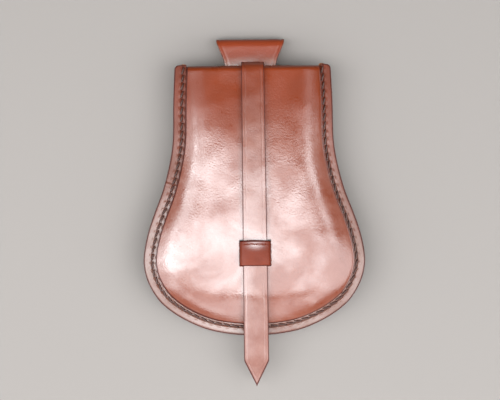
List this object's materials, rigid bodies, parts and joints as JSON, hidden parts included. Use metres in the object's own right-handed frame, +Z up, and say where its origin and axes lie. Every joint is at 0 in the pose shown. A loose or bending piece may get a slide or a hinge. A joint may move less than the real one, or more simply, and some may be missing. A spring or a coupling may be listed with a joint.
{
  "type": "leather belt pouch",
  "caption": "Bell-shaped leather belt pouch with a saddle-stitched margin, a full front flap, a pointed closing strap held by a keeper, and a flared belt loop behind its top.",
  "frame": {"origin": "on the surface below the pouch lying on its back, under the middle of its box: half way across the body and half way from the belt loop's top to the strap's tip", "axes": "+X across the front, to the viewer's right with the belt loop up; +Y from the strap's tip towards the belt loop; +Z up out of the front"},
  "size_m": [0.1662, 0.2618, 0.04],
  "materials": {
    "flap_leather": "waxed russet, glossy",
    "margin_leather": "waxed red-brown, dimpled by the stitches",
    "strap_leather": "waxed russet, satin",
    "keeper_leather": "dark red-brown, glossy",
    "loop_leather": "waxed orange-brown, satin"
  },
  "bodies": {
    "root": {"back_and_flap": "flap_leather", "front_panel": "margin_leather", "closing_strap": "strap_leather", "keeper": "keeper_leather", "belt_loop": "loop_leather"}
  },
  "joints": []
}
